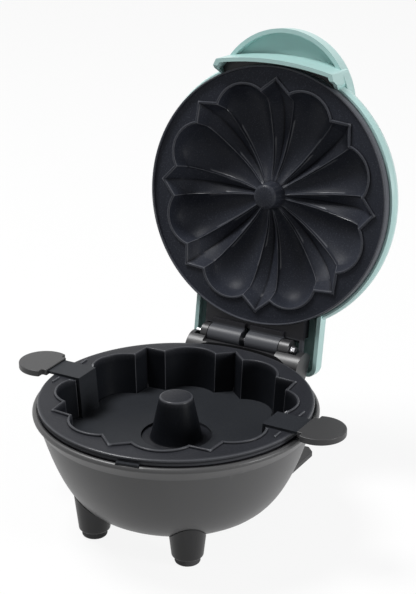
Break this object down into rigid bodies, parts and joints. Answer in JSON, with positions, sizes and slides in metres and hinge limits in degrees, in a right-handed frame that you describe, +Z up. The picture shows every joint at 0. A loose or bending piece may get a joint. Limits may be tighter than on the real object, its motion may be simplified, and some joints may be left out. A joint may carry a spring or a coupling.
{
  "type": "ring cake maker",
  "caption": "Ring-cake maker: a bowl base on feet with a fluted ring mould and a cake lifter, under a hinged dome lid with a petal mould plate.",
  "frame": {"origin": "on the bowl's vertical axis, on the plane that the feet stand on", "axes": "+Z up; the front, where the handle comes down, is -Y; the hinge is at +Y; +X is the right-hand side seen from the front"},
  "size_m": [0.182, 0.1964, 0.2272],
  "materials": {
    "bowl_plastic": "dark grey moulded plastic with a satin face",
    "dark_plastic": "near-black moulded plastic, fine grain",
    "black_plastic": "black heat-proof plastic",
    "teal_plastic": "pale teal moulded plastic with a soft gloss",
    "coated_plate": "cast aluminium under a black non-stick coating",
    "coated_sheet": "steel sheet under a black non-stick coating",
    "steel": "plain bright steel",
    "heater_steel": "heat-darkened steel tube",
    "shield_steel": "plain pressed sheet",
    "rubber": "matt black rubber",
    "ceramic": "off-white insulating body",
    "wire_sleeve": "woven pale sleeve",
    "lens_red": "clear red lens",
    "board": "green circuit board",
    "lamp": "small clear lamp"
  },
  "bodies": {
    "base": {"base_bowl": "bowl_plastic", "bottom_cover": "dark_plastic", "foot_front_left": "dark_plastic", "foot_front_right": "dark_plastic", "foot_rear_left": "dark_plastic", "foot_rear_right": "dark_plastic", "foot_pads": "rubber", "foot_screws": "steel", "cover_screws": "steel", "rear_stand": "dark_plastic", "stand_screws": "steel", "cord_inlet": "rubber", "seat_ring": "black_plastic", "lower_plate": "coated_plate", "plate_clip": "coated_sheet", "lower_element": "heater_steel", "lower_shield": "shield_steel", "shield_screws": "steel", "thermostat": "ceramic", "thermal_fuse": "ceramic", "terminal_block": "ceramic", "base_wiring": "wire_sleeve", "hinge_pin": "steel", "pin_cap": "steel"},
    "lid": {"lid_shell": "teal_plastic", "lid_frame": "dark_plastic", "upper_plate": "coated_plate", "upper_element": "heater_steel", "upper_shield": "shield_steel", "upper_shield_screws": "steel", "indicator_lenses": "lens_red", "lamp_board": "board", "lamps": "lamp", "lid_wiring": "wire_sleeve", "frame_screws": "steel", "plate_screws": "steel"},
    "lifter": {"cake_lifter": "coated_sheet", "finger_tab_left": "black_plastic", "finger_tab_right": "black_plastic"}
  },
  "joints": [
    {"name": "lid_hinge", "type": "hinge", "parent": "base", "child": "lid", "pos_m": [0, 0.07733, 0.06763], "axis": [1, 0, 0], "range_deg": [0, 99.2]},
    {"name": "lifter_slide", "type": "slide", "parent": "base", "child": "lifter", "axis": [0, 0, 1], "range_m": [0, 0.08]}
  ]
}
